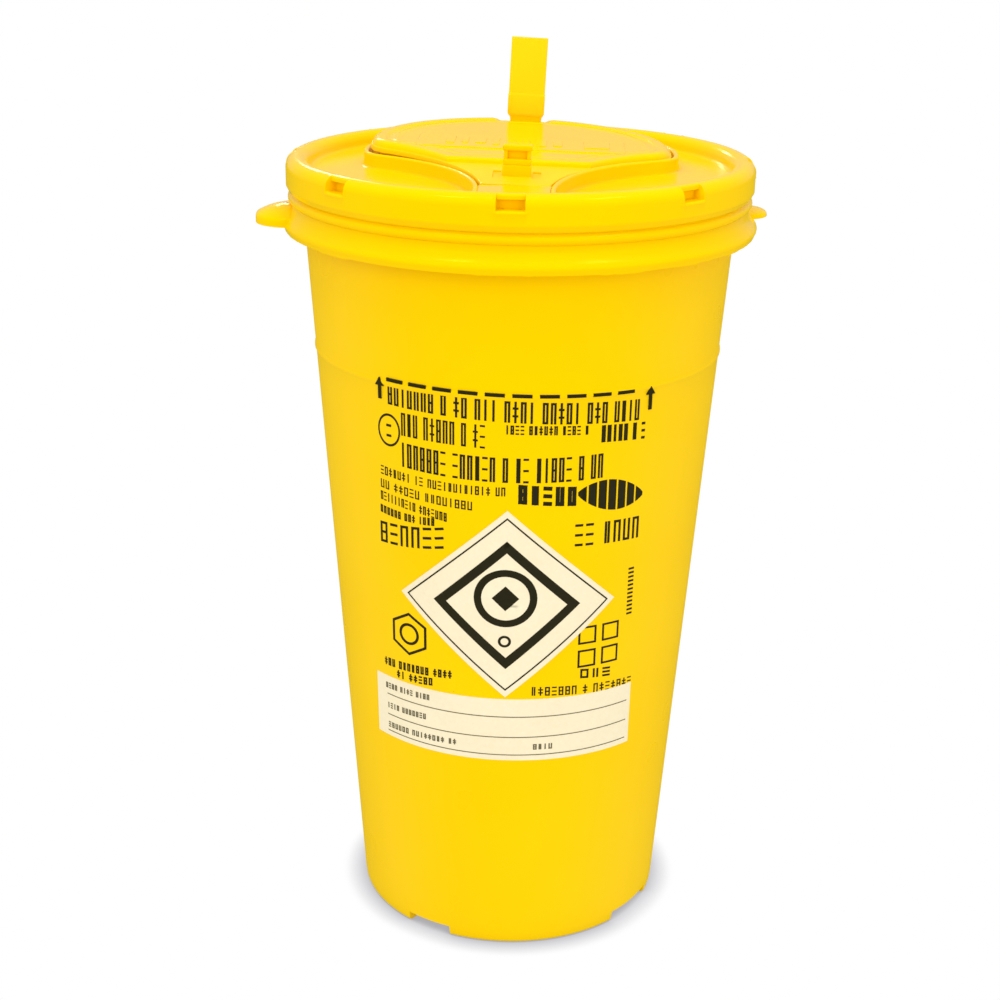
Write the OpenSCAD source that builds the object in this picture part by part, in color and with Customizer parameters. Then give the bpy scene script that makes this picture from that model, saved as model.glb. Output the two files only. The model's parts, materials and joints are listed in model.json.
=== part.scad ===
// Sharps container: a tapered pot with a castellated foot and a drip skirt, closed by a
// press-on lid. A mushroom-shaped flap in the lid turns on a living hinge at the front,
// with a pull strip on its back edge and a small catch standing on its neck.
//
// Millimetres, +Z up. The front (label side) faces -Y. The origin is the centre of the
// base, where the foot stands on the table.

/* [Container] */
// Outer radius of the tapered wall at the table
base_r = 37.6; // [34:0.1:40]
// Height of the shoulder, where the taper ends and the neck begins
shoulder_z = 171; // [150:1:220]
// Wall thickness of the container
wall_t = 1.2; // [1:0.1:1.3]
// Height of the foot ring under the floor
foot_h = 4; // [3.5:0.1:6]
// Thickness of the floor
floor_t = 1.4; // [1:0.1:2.5]
// Width of each notch in the foot ring
notch_w = 11.8; // [6:0.1:16]
// Height of each notch in the foot ring
notch_h = 2.7; // [1.5:0.1:3.2]
// Direction of the first notch, measured from +X towards +Y
notch_turn = 60; // [0:0.5:90]
// Height of the moulded fill-line ring
fill_z = 143.3; // [120:0.1:145]

/* [Skirt and lugs] */
// Outer radius of the drip skirt
skirt_r = 55; // [54:0.1:56.5]
// Distance from the axis to the tip of a lug
lug_reach = 60.3; // [58:0.1:66]
// Width of a lug
lug_w = 18; // [12:0.5:24]
// Direction of the right lug, measured from +X towards +Y
lug_turn = 7; // [0:0.5:20]

/* [Lid rim] */
// Outer radius of the lid
lid_r = 54; // [53.8:0.1:54.6]
// Radius of the rounded bar that forms the top of the rim
bar_r = 2.7; // [2.6:0.05:2.8]
// Number of windows, each with a snap hook below it
window_count = 8; // [4:1:12]
// Width of each window
window_w = 5.6; // [4:0.1:8]
// Height of each window
window_h = 3.2; // [2.5:0.1:3.4]

/* [Flap outline] */
// Radius of the round cap of the mushroom outline
cap_r = 36.7; // [35:0.1:38]
// How far the centre of the cap lies behind the axis
cap_y = 6; // [5:0.1:7]
// Radius of the shoulders of the cap
round_r = 10; // [8:0.5:12]
// Radius of the hollow flare between cap and neck
flare_r = 46.6; // [40:0.1:50]
// Half of the neck's width at its front end
neck_half = 8.7; // [8:0.1:10]
// Thickness of the collar wall
collar_t = 1.2; // [1:0.1:1.4]
// Gap between the flap and the collar
flap_gap = 0.45; // [0.35:0.05:0.6]

/* [Pull strip] */
// Width of the strip
strip_w = 9.2; // [6:0.1:12]
// Height of the strip above its hinge
strip_h = 19.4; // [12:0.1:26]
// Thickness of the strip
strip_t = 1; // [0.8:0.1:1.2]
// Lean of the strip towards +X
strip_lean = 2.4; // [0:0.1:4]

/* [Catch] */
// Width of the catch
catch_w = 6.2; // [5:0.1:6.4]

/* [Labels] */
// Thickness of a printed label
label_t = 0.15; // [0.1:0.05:0.3]
// Half of the width of the diamond label
diamond_half_w = 24.3; // [18:0.1:28]
// Half of the height of the diamond label
diamond_half_h = 23.5; // [18:0.1:24]
// Width of the write-on panel
panel_w = 60; // [40:1:66]
// Height of the write-on panel
panel_h = 16.4; // [12:0.1:18]

/* [Hidden] */
$fn = 96;

// Container
shoulder_r = 49.9;
neck_in_r = shoulder_r - wall_t;
neck_r = 50;
neck_top = shoulder_z + 12;
foot_in_r = base_r - 2.6;
foot_round = 1;
bead_z = shoulder_z + 8.6;
bead_r = neck_r + 1.6;
skirt_top_z = shoulder_z + 5.6;
skirt_edge_z = shoulder_z + 2.2;
skirt_low_z = shoulder_z + 0.1;
lug_top_z = shoulder_z + 4.4;
lug_dome_r = 24;
lug_wall = 1.2;

// Lid levels
lid_z = shoulder_z + 6;
groove_z = lid_z + 2.7;
deck_low = lid_z + 5.9;
deck_top = lid_z + 7.2;
bar_z = lid_z + 7.9;
crest_z = bar_z + bar_r;
bar_mid_r = lid_r - bar_r;
rim_in_r = bar_mid_r - bar_r;
thin_r = lid_r - 1.1;
channel_r = lid_r - 1.6;
bar_core_r = 1.2;
window_z = lid_z + 7.2;
plug_tip_z = lid_z + 2.6;
hook_reach = 1.3;
hook_root = 0.1;
neck_gap = 0.15;

// Flap levels
seat_inset = 3;
seat_front_y = -21.6;
seat_top = deck_top + 1.6;
panel_low = seat_top + 0.2;
panel_top = panel_low + 1.3;
panel_inset = collar_t + flap_gap;
plug_inset = 3.6;
plug_wall = 1.2;
plug_low = deck_low + 0.3;
border_h = 1.4;
border_w = 3.4;
border_inset = 2.2;
border_front_y = -17.4;
disc_h = 0.8;
plate_size = [48, 17, 0.5];
plate_y = 4;
border_top = panel_top + border_h;

// Flap outline: the shoulder circles touch the cap circle from inside and the flare
// circles from outside
neck_y = -46;
front_y = -52;
flare_x = neck_half + flare_r;
cap_to_round = cap_r - round_r;
flare_to_round = flare_r + round_r;
cap_to_flare = norm([flare_x, neck_y - cap_y]);
flare_dir = [flare_x, neck_y - cap_y] / cap_to_flare;
round_along = (pow(cap_to_round, 2) - pow(flare_to_round, 2) + pow(cap_to_flare, 2)) / (2 * cap_to_flare);
round_aside = sqrt(pow(cap_to_round, 2) - pow(round_along, 2));
round_x = round_along * flare_dir[0] - round_aside * flare_dir[1];
round_y = cap_y + round_along * flare_dir[1] + round_aside * flare_dir[0];

// Flap hinge
hinge_y = -41;
hinge_z = panel_top - 0.25;
hinge_half_gap = 0.6;
hinge_w = 15;

// Pull strip and its living hinge
strip_y = cap_y + cap_r - border_inset - 0.9;
strip_axis_z = border_top + 0.7;
strip_low_z = strip_axis_z + 0.25;
strip_foot_h = 5.6;
strip_foot_extra = 0.4;

// Catch and its living hinge
catch_front_y = -31;
catch_axis_y = catch_front_y + 1.7;
catch_base_h = 2;
catch_axis_z = panel_top + catch_base_h + 0.25;
slot_w = 1.8;
slot_l = 8;
web_t = 0.5;

// Labels
diamond_x = -0.3;
diamond_z = 93.1;
panel_x = -1.1;
panel_mid_z = 60.8;

// Outer radius of the tapered wall at height z
function wall_r(z) = base_r + (shoulder_r - base_r) * z / shoulder_z;

// ---------- shared shapes ----------

// A ring of revolution from a list of [radius, height] points
module turned(points) {
  rotate_extrude() polygon(points);
}

// Block given by its lowest and highest corners
module block(low, high) {
  translate(low) cube(high - low);
}

// Plate with the mushroom outline moved inwards by d, between two heights, cut off in front
// of y = from_y. The shoulder circles are a hair larger than tangent, so that they cross
// the cap and flare circles cleanly.
module cap_plate(d, low, top, from_y = front_y) {
  far = 3 * cap_r;
  high = top - low;
  half = neck_half - d;
  round_at = [round_x, round_y];
  cap_low_y = cap_y + (cap_r - d) / cap_to_round * (round_y - cap_y);
  flare_touch = round_at + (round_r - d + 2) / flare_to_round * ([flare_x, neck_y] - round_at);
  translate([0, 0, low])
    difference() {
      union() {
        intersection() {
          translate([0, cap_y, 0]) cylinder(r = cap_r - d, h = high);
          block([-far, cap_low_y, 0], [far, far, high]);
        }
        for (side = [-1, 1])
          translate([side * round_x, round_y, 0]) cylinder(r = round_r - d + 0.03, h = high);
        linear_extrude(high)
          polygon([
            [round_x, cap_y + 4], round_at, flare_touch,
            [half + 1.5, neck_y + 4], [half, neck_y - 1], [half, front_y],
            [-half, front_y], [-half, neck_y - 1], [-half - 1.5, neck_y + 4],
            [-flare_touch[0], flare_touch[1]], [-round_x, round_y], [-round_x, cap_y + 4]
          ]);
      }
      for (side = [-1, 1])
        translate([side * flare_x, neck_y, -1]) cylinder(r = flare_r + d, h = high + 2);
      block([-far, from_y - far, -1], [far, from_y, high + 1]);
    }
}

// Everything that the rounded rim bar and the wall below it take up
module rim_envelope() {
  rotate_extrude() {
    translate([bar_mid_r, bar_z]) circle(bar_r);
    translate([rim_in_r, bar_z - 6]) square([bar_r + 3, 6]);
  }
}

// Keeps a piece of the lid's top inside the rim, with its ends cut to the rounded bar
module trimmed_to_rim() {
  difference() {
    intersection() {
      children();
      translate([0, 0, deck_low]) cylinder(r = rim_in_r + 1.4, h = 20);
    }
    rim_envelope();
  }
}

// ---------- container ----------

// Ring that stands on the table, notched in four places
module foot_ring() {
  corner_r = base_r - foot_round;
  color("gold")
    difference() {
      rotate_extrude() {
        translate([corner_r, foot_round]) circle(foot_round);
        polygon([
          [foot_in_r, 0], [corner_r, 0], [corner_r, foot_round], [base_r, foot_round],
          [wall_r(foot_h), foot_h], [foot_in_r, foot_h]
        ]);
      }
      for (turn = [0 : 90 : 270])
        rotate([0, 0, notch_turn + turn])
          block([foot_in_r - 3, -notch_w / 2, -1], [base_r + 3, notch_w / 2, notch_h]);
    }
}

// Floor, pushed up a little in the middle, with the gate's dimple underneath
module container_floor() {
  in_low = wall_r(foot_h) - wall_t;
  in_top = wall_r(foot_h + floor_t) - wall_t;
  push_up = 1;
  color("gold")
    turned([
      [0, foot_h + push_up + 0.5], [2.5, foot_h + push_up + 0.5], [3, foot_h + push_up],
      [20, foot_h + push_up], [24, foot_h], [in_low, foot_h], [in_top, foot_h + floor_t],
      [23.6, foot_h + floor_t], [19.6, foot_h + floor_t + push_up], [0, foot_h + floor_t + push_up]
    ]);
}

// Tapered wall from the foot to the shoulder
module container_wall() {
  color("gold")
    turned([
      [wall_r(foot_h) - wall_t, foot_h], [wall_r(foot_h), foot_h],
      [shoulder_r, shoulder_z], [neck_in_r, shoulder_z]
    ]);
}

// Faint ring moulded round the wall at the fill line
module fill_line_ring() {
  proud = 0.3;
  half = 0.8;
  crown = 0.3;
  color("gold")
    turned([
      [wall_r(fill_z - half), fill_z - half], [wall_r(fill_z) + proud, fill_z - crown],
      [wall_r(fill_z) + proud, fill_z + crown], [wall_r(fill_z + half), fill_z + half]
    ]);
}

// Straight neck above the shoulder, hidden inside the lid from half way up
module neck() {
  lip = 0.5;
  color("gold")
    turned([
      [neck_in_r, shoulder_z], [neck_r, shoulder_z], [neck_r, neck_top - lip],
      [neck_r - lip, neck_top], [neck_in_r, neck_top]
    ]);
}

// Undercut bead round the neck, which the lid's hooks catch
module snap_bead() {
  color("gold")
    turned([
      [neck_r, bead_z], [bead_r, bead_z], [bead_r, bead_z + 0.6], [neck_r, bead_z + 2.2]
    ]);
}

// Outline of the skirt's section, down to height low under its sloping top
module skirt_section(low) {
  polygon([
    [neck_r, low], [neck_r, skirt_top_z], [neck_r + 1.2, skirt_top_z],
    [skirt_r - 0.5, skirt_edge_z + 0.7], [skirt_r, skirt_edge_z],
    [skirt_r, skirt_edge_z - 0.6], [skirt_r - 0.5, low]
  ]);
}

// Conical skirt round the neck, open underneath
module drip_skirt() {
  color("gold")
    rotate_extrude()
      difference() {
        skirt_section(skirt_low_z);
        polygon([
          [neck_r - 1, skirt_low_z - 1], [neck_r - 1, skirt_top_z - 1],
          [neck_r + 0.4, skirt_top_z - 1], [skirt_r - 1.1, skirt_edge_z],
          [skirt_r - 1.4, skirt_low_z - 1]
        ]);
      }
}

// Body of a lug along +X: a rounded plan under a low dome
module lug_form(inset) {
  corner = 4 - inset;
  half = lug_w / 2 - inset;
  tip = lug_reach - inset;
  intersection() {
    translate([0, 0, skirt_low_z + 0.5])
      linear_extrude(10) {
        for (side = [-1, 1])
          translate([tip - corner, side * (half - corner)]) circle(corner);
        translate([neck_r - 1, -half]) square([tip - corner - neck_r + 1, 2 * half]);
        translate([tip - corner, corner - half]) square([corner, 2 * (half - corner)]);
      }
    translate([skirt_r, 0, lug_top_z - inset - lug_dome_r]) sphere(lug_dome_r);
  }
}

// Finger lug on the skirt, hollow underneath where it stands out past the skirt
module lug(turn) {
  color("gold")
    rotate([0, 0, turn])
      difference() {
        lug_form(0);
        intersection() {
          lug_form(lug_wall);
          block([skirt_r + lug_wall, -lug_w, 0], [lug_reach, lug_w, lug_top_z]);
        }
        rotate_extrude() skirt_section(skirt_low_z - 1);
        translate([0, 0, shoulder_z - 5]) cylinder(r = neck_r, h = 20);
      }
}

module lug_left() {
  lug(180 + lug_turn);
}

module lug_right() {
  lug(lug_turn);
}

// ---------- lid ----------

// Hoop round the lid: a rounded bar over a thin outer wall, with windows at its upper edge
module lid_rim() {
  inner_edge = bar_mid_r - bar_core_r - 0.1;
  color("gold")
    difference() {
      rotate_extrude()
        difference() {
          union() {
            translate([bar_mid_r, bar_z]) circle(bar_r);
            polygon([
              [rim_in_r, neck_top + neck_gap], [inner_edge, neck_top + neck_gap], [inner_edge, bar_z],
              [channel_r, bar_z], [channel_r, lid_z], [thin_r, lid_z], [thin_r, groove_z],
              [lid_r - 0.6, groove_z], [lid_r, groove_z + 1.3], [lid_r, bar_z],
              [bar_mid_r, bar_z + 1.5], [rim_in_r, bar_z]
            ]);
          }
          translate([bar_mid_r - 0.1, bar_z]) circle(bar_core_r);
          translate([inner_edge, lid_z - 1]) square([channel_r - inner_edge, bar_z - lid_z + 1]);
          translate([rim_in_r - 1, lid_z]) square([bar_r, neck_top + neck_gap - lid_z]);
        }
      for (i = [0 : window_count - 1])
        rotate([0, 0, 270 + i * 360 / window_count]) {
          block([bar_mid_r, -window_w / 2, window_z],
                [lid_r + 2, window_w / 2, window_z + window_h - 1]);
          block([bar_mid_r + 0.9, -window_w / 2, window_z],
                [lid_r + 2, window_w / 2, window_z + window_h + 1]);
        }
    }
}

// Bead round the lower edge of the rim, below its groove
module rim_bead() {
  bead_half = 1;
  mid_z = lid_z + 1.2;
  color("gold")
    rotate_extrude()
      intersection() {
        translate([thin_r - 0.6, mid_z]) circle(1.35);
        translate([thin_r, mid_z - bead_half]) square([2, 2 * bead_half]);
      }
}

// One snap hook on the inside of the rim, below each window, rooted a little in its wall
module snap_hooks() {
  low = lid_z + 0.6;
  top = bead_z - 0.3;
  color("goldenrod")
    for (i = [0 : window_count - 1])
      rotate([0, 0, 270 + i * 360 / window_count])
        rotate([90, 0, 0])
          translate([0, 0, -window_w / 2])
            linear_extrude(window_w)
              polygon([
                [channel_r + hook_root, low], [channel_r + hook_root, top],
                [channel_r - hook_reach, top], [channel_r - hook_reach, top - 0.4],
                [channel_r - 0.3, low]
              ]);
}

// Recessed tray of the lid, open under the round part of the flap
module lid_deck() {
  color("gold")
    difference() {
      translate([0, 0, deck_low]) cylinder(r = rim_in_r, h = deck_top - deck_low);
      cap_plate(seat_inset, deck_low - 1, deck_top + 1, seat_front_y + 1.8);
    }
}

// Sealing ring under the tray that plugs the neck
module sealing_plug() {
  out_r = neck_in_r - 0.2;
  color("gold")
    turned([
      [out_r - 1.3, deck_low], [out_r - 1.3, plug_tip_z], [out_r - 0.6, plug_tip_z],
      [out_r, plug_tip_z + 1], [out_r, deck_low]
    ]);
}

// Wall that stands on the tray round the flap and runs out to the rim at the front
module collar() {
  color("gold")
    trimmed_to_rim()
      difference() {
        cap_plate(0, deck_top, crest_z);
        cap_plate(collar_t, deck_top - 1, crest_z + 1);
      }
}

// Ledge inside the collar, round the opening, that the flap closes on
module flap_seat() {
  color("gold")
    difference() {
      cap_plate(collar_t, deck_top, seat_top, seat_front_y);
      cap_plate(seat_inset, deck_top - 1, seat_top + 1, seat_front_y + 1.8);
    }
}

// Fixed end of the flap's neck, between its hinge and the rim
module hinge_land() {
  color("gold")
    trimmed_to_rim()
      intersection() {
        cap_plate(collar_t, deck_top, panel_top);
        block([-20, front_y, deck_top], [20, hinge_y - hinge_half_gap, panel_top]);
      }
}

// Thin web of the flap's living hinge, rounded along the fold
module flap_hinge() {
  color("goldenrod")
    translate([-hinge_w / 2, hinge_y, hinge_z])
      rotate([0, 90, 0])
        linear_extrude(hinge_w) {
          circle(0.25);
          translate([-0.15, -hinge_half_gap]) square([0.3, 2 * hinge_half_gap - 0.05]);
        }
}

// ---------- flap ----------

// Mushroom-shaped plate of the flap, slotted on both sides of the catch
module flap_panel() {
  color("gold")
    difference() {
      cap_plate(panel_inset, panel_low, panel_top, hinge_y + hinge_half_gap);
      for (side = [-1, 1])
        translate([side * (catch_w / 2 + 0.3 + slot_w / 2), catch_axis_y, panel_low])
          block([-slot_w / 2, -slot_l / 2, -1], [slot_w / 2, slot_l / 2, 3]);
    }
}

// Ring under the flap that plugs the opening
module flap_plug() {
  plug_front_y = seat_front_y + 2.4;
  color("gold")
    difference() {
      cap_plate(plug_inset, plug_low, panel_low, plug_front_y);
      cap_plate(plug_inset + plug_wall, plug_low - 1, panel_low + 1, plug_front_y + plug_wall);
    }
}

// Raised border round the cap of the flap
module flap_border() {
  edge = 0.5;
  color("gold")
    difference() {
      union() {
        cap_plate(border_inset, panel_top, border_top - edge, border_front_y);
        cap_plate(border_inset + edge, panel_top, border_top, border_front_y + edge);
      }
      cap_plate(border_inset + border_w, panel_top - 1, border_top + 1,
                border_front_y + border_w);
    }
}

// Sunken field inside the border
module flap_disc() {
  color("gold")
    cap_plate(border_inset + border_w, panel_top, panel_top + disc_h, border_front_y + border_w);
}

// Blank plate raised in the middle of the field
module flap_plate() {
  low = panel_top + disc_h;
  corner = 1;
  color("gold")
    translate([0, plate_y, low])
      linear_extrude(plate_size[2]) {
        square([plate_size[0] - 2 * corner, plate_size[1]], center = true);
        square([plate_size[0], plate_size[1] - 2 * corner], center = true);
        for (x = [-1, 1], y = [-1, 1])
          translate([x * (plate_size[0] / 2 - corner), y * (plate_size[1] / 2 - corner)])
            circle(corner);
      }
}

// Thin rib with a rounded fold along its top, width w, from height low up to axis_z
module fold_rib(w, y, low, axis_z) {
  translate([-w / 2, y, 0]) {
    block([0, -web_t / 2, low], [w, web_t / 2, axis_z]);
    translate([0, 0, axis_z]) rotate([0, 90, 0]) cylinder(d = web_t, h = w);
  }
}

// Living hinge of the pull strip
module strip_root() {
  color("goldenrod")
    fold_rib(strip_w - 1, strip_y, border_top, strip_axis_z);
}

// Block on the flap's neck that carries the catch
module catch_base() {
  color("gold") {
    block([-catch_w / 2, catch_front_y, panel_top],
          [catch_w / 2, catch_front_y + 3.4, panel_top + catch_base_h]);
    fold_rib(catch_w - 0.6, catch_axis_y, panel_top + catch_base_h, catch_axis_z);
  }
}

// Strip that stands on the flap's back edge: a stout foot below a plain blade
module pull_strip() {
  half = strip_w / 2;
  lean_lift = half * tan(strip_lean);
  color("gold")
    translate([0, strip_y, strip_low_z])
      rotate([0, strip_lean, 0]) {
        block([-half, -strip_t / 2, lean_lift], [half, strip_t / 2, strip_h]);
        for (side = [-1, 1])
          translate([side * (half - 0.6), 0, 0])
            block([-0.6, strip_t / 2, lean_lift], [0.6, strip_t / 2 + strip_foot_extra, strip_foot_h]);
      }
}

// Upright of the catch with a rounded nose over its front
module catch_post() {
  low = catch_axis_z + 0.3;
  nose_r = 0.65;
  back_y = catch_front_y + 2.8;
  nose_z = low + 3.7;
  color("gold") {
    block([-catch_w / 2 + 0.1, catch_front_y + 0.1, low], [catch_w / 2 - 0.1, back_y, low + 1.4]);
    block([-catch_w / 2 + 0.3, catch_front_y + 0.9, low + 1.4],
          [catch_w / 2 - 0.3, back_y, nose_z - nose_r]);
    block([-catch_w / 2 - 0.1, catch_front_y + 0.2, nose_z - nose_r],
          [catch_w / 2 + 0.1, back_y, nose_z + nose_r]);
    translate([-catch_w / 2 - 0.1, catch_front_y + 0.2, nose_z])
      rotate([0, 90, 0]) cylinder(r = nose_r, h = catch_w + 0.2);
  }
}

// ---------- labels ----------

// Thin layer on the front of the tapered wall, cut to the outline given as children
module on_front_wall() {
  low = foot_h + 20;
  top = shoulder_z - 20;
  intersection() {
    turned([
      [wall_r(low), low], [wall_r(low) + label_t, low],
      [wall_r(top) + label_t, top], [wall_r(top), top]
    ]);
    rotate([90, 0, 0]) linear_extrude(80) children();
  }
}

// Square hazard label standing on one corner
module hazard_label() {
  color("wheat")
    on_front_wall()
      polygon([
        [diamond_x - diamond_half_w, diamond_z], [diamond_x, diamond_z - diamond_half_h],
        [diamond_x + diamond_half_w, diamond_z], [diamond_x, diamond_z + diamond_half_h]
      ]);
}

// Panel to write on, under the diamond
module write_on_label() {
  color("wheat")
    on_front_wall()
      difference() {
        translate([panel_x, panel_mid_z]) square([panel_w, panel_h], center = true);
        polygon([
          [diamond_x - diamond_half_w, diamond_z], [diamond_x, diamond_z - diamond_half_h],
          [diamond_x + diamond_half_w, diamond_z]
        ]);
      }
}

foot_ring();
container_floor();
container_wall();
fill_line_ring();
neck();
snap_bead();
drip_skirt();
lug_left();
lug_right();
lid_rim();
rim_bead();
snap_hooks();
lid_deck();
sealing_plug();
collar();
flap_seat();
hinge_land();
flap_hinge();
flap_panel();
flap_plug();
flap_border();
flap_disc();
flap_plate();
strip_root();
catch_base();
pull_strip();
catch_post();
hazard_label();
write_on_label();
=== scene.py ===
"""Looks of the sharps container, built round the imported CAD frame.

Shapes are written in millimetres in the row frame (+Z up, the front faces -Y) and turned
into metres when a mesh is made. Azimuths are degrees from the front, growing towards +X.
"""

import json
import random
from math import asin, atan2, ceil, cos, degrees, hypot, pi, radians, sin, sqrt, tan

import bmesh
import bpy
from mathutils import Matrix, Vector, noise


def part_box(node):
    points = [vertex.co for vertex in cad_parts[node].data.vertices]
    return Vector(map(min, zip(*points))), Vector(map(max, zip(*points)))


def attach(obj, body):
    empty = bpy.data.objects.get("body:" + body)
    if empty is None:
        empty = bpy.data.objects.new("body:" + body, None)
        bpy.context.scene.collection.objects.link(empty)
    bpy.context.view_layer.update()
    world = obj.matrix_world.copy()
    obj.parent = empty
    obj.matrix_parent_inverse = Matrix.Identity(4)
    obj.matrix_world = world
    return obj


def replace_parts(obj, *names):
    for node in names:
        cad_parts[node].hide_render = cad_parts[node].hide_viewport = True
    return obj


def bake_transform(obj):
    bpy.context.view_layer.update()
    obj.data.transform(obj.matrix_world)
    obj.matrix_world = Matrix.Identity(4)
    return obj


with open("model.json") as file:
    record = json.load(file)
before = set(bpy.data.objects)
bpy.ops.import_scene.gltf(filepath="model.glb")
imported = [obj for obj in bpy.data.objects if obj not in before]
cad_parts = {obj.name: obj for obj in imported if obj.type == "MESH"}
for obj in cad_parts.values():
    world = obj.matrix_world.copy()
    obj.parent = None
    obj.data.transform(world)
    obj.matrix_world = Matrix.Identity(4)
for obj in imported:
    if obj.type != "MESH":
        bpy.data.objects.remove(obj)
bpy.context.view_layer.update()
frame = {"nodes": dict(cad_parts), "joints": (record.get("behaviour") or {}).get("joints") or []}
MM = 0.001


def box_mm(node):
    """Lowest and highest corner of a CAD node, in millimetres."""
    return [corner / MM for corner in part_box(node)]


# ---------- sizes taken from the frame ----------
foot_high, wall_high, neck_high, deck_high, border_high, disc_high = (box_mm(node)[1] for node in (
    "foot_ring", "container_wall", "neck", "lid_deck", "flap_border", "flap_disc"))
skirt_low, skirt_high = box_mm("drip_skirt")
rim_low, rim_high = box_mm("lid_rim")
panel_low, panel_high = box_mm("flap_panel")
plate_low, plate_high = box_mm("flap_plate")
plug_low = box_mm("flap_plug")[0]
ring_low, ring_high = box_mm("fill_line_ring")
base_low, base_high = box_mm("catch_base")
diamond_low, diamond_high = box_mm("hazard_label")
card_low, card_high = box_mm("write_on_label")
joints = {j["name"]: Vector(j["pos_m"]) / MM for j in frame["joints"]}

FOOT_H = foot_high.z
FOOT_R = foot_high.x
SHOULDER_Z = wall_high.z
SHOULDER_R = wall_high.x
NECK_R = neck_high.x
SKIRT_R = skirt_high.x
LID_R = rim_high.x
LID_Z = rim_low.z
CREST_Z = rim_high.z
DECK_Z = deck_high.z
RIM_IN_R = deck_high.x
BAR_R = (LID_R - RIM_IN_R) / 2
BAR_MID_R = LID_R - BAR_R
BAR_Z = CREST_Z - BAR_R
PANEL_LOW = panel_low.z
PANEL_TOP = panel_high.z
BORDER_TOP = border_high.z
FIELD_Z = disc_high.z + 0.2
PLATE_Z = plate_high.z
FILL_Z = (ring_low.z + ring_high.z) / 2
WALL_T = 1.2

# Mushroom outline of the flap, as in the CAD model
COLLAR_T = 1.2
COLLAR_FRONT_Y = -50.2
PANEL_IN = 1.65
CAP_R = panel_high.x + PANEL_IN
CAP_Y = panel_high.y + PANEL_IN - CAP_R
ROUND_R = 10
FLARE_R = 46.6
NECK_HALF = 8.7
NECK_Y = -46
FLARE_X = NECK_HALF + FLARE_R
HINGE_Y = joints["flap_turn"].y
HINGE_HALF_GAP = 0.6
BORDER_IN = 2.2
BORDER_W = 3.4
BORDER_FRONT_Y = -17.4

# The flap stands a hair open: its back edge is up, and its left side more than its right
AJAR_TURN = radians(1.2)
AJAR_ROLL = radians(1.5)


def wall_r(z):
    """Outer radius of the tapered wall."""
    return FOOT_R + (SHOULDER_R - FOOT_R) * (z - FOOT_H) / (SHOULDER_Z - FOOT_H)


# ---------- node materials ----------
def new_material(name):
    """An empty node material and its tree."""
    material = bpy.data.materials.new(name)
    material.use_nodes = True
    material.node_tree.nodes.clear()
    return material, material.node_tree


def add(tree, kind, **values):
    """A node with named input values or attributes set."""
    node = tree.nodes.new(kind)
    for key, value in values.items():
        if key in node.inputs:
            node.inputs[key].default_value = value
        else:
            setattr(node, key, value)
    return node


def wire(tree, *links):
    """Links, each (source node, output, target node, input), by socket name or number."""
    for source, output, target, socket in links:
        tree.links.new(source.outputs[output], target.inputs[socket])


def ramp(tree, *stops):
    """Colour ramp through (position, colour) stops."""
    node = add(tree, "ShaderNodeValToRGB")
    elements = node.color_ramp.elements
    while len(elements) < len(stops):
        elements.new(0.5)
    for element, (at, colour) in zip(elements, stops):
        element.position = at
        element.color = (*colour, 1)
    return node


def moulded_plastic(name, tint, deep, roughness, grain=0.5, wave=0.25):
    """Glossy injection-moulded plastic: a drifting tint, fine grain, faint sink marks, rare specks."""
    material, tree = new_material(name)
    out = add(tree, "ShaderNodeOutputMaterial")
    shader = add(tree, "ShaderNodeBsdfPrincipled", IOR=1.49)
    # Reflections at a slant keep the plastic's own yellow
    shader.inputs["Specular Tint"].default_value = (1.0, 0.74, 0.0, 1)
    place = add(tree, "ShaderNodeTexCoord")
    drift = add(tree, "ShaderNodeTexNoise", Scale=28.0, Detail=3.0, Roughness=0.5)
    fine = add(tree, "ShaderNodeTexNoise", Scale=2600.0, Detail=2.0, Roughness=0.6)
    sink = add(tree, "ShaderNodeTexNoise", Scale=75.0, Detail=1.0, Roughness=0.4)
    specks = add(tree, "ShaderNodeTexVoronoi", Scale=210.0, feature="F1")
    rare = add(tree, "ShaderNodeTexNoise", Scale=60.0, Detail=0.0)
    wire(tree, *[(place, "Object", texture, "Vector") for texture in (drift, fine, sink, specks, rare)])
    tone = ramp(tree, (0.3, deep), (0.7, tint))
    dots = ramp(tree, (0.018, (0.55, 0.3, 0.01)), (0.03, (1, 1, 1)))
    where = ramp(tree, (0.72, (0, 0, 0)), (0.75, (1, 1, 1)))
    spot = add(tree, "ShaderNodeMix", data_type="RGBA", blend_type="MULTIPLY")
    wire(tree, (drift, "Fac", tone, "Fac"), (specks, "Distance", dots, "Fac"), (rare, "Fac", where, "Fac"),
         (where, "Color", spot, 0), (tone, "Color", spot, 6), (dots, "Color", spot, 7),
         (spot, 2, shader, "Base Color"))
    rough = add(tree, "ShaderNodeMapRange")
    for socket, value in (("From Min", 0.3), ("From Max", 0.7), ("To Min", roughness * 0.85),
                          ("To Max", roughness * 1.2)):
        rough.inputs[socket].default_value = value
    bump_sink = add(tree, "ShaderNodeBump", Strength=wave, Distance=0.0004)
    bump_fine = add(tree, "ShaderNodeBump", Strength=grain, Distance=0.00002)
    wire(tree, (drift, "Fac", rough, "Value"), (rough, "Result", shader, "Roughness"),
         (sink, "Fac", bump_sink, "Height"), (fine, "Fac", bump_fine, "Height"),
         (bump_sink, "Normal", bump_fine, "Normal"), (bump_fine, "Normal", shader, "Normal"),
         (shader, "BSDF", out, "Surface"))
    return material


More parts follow.
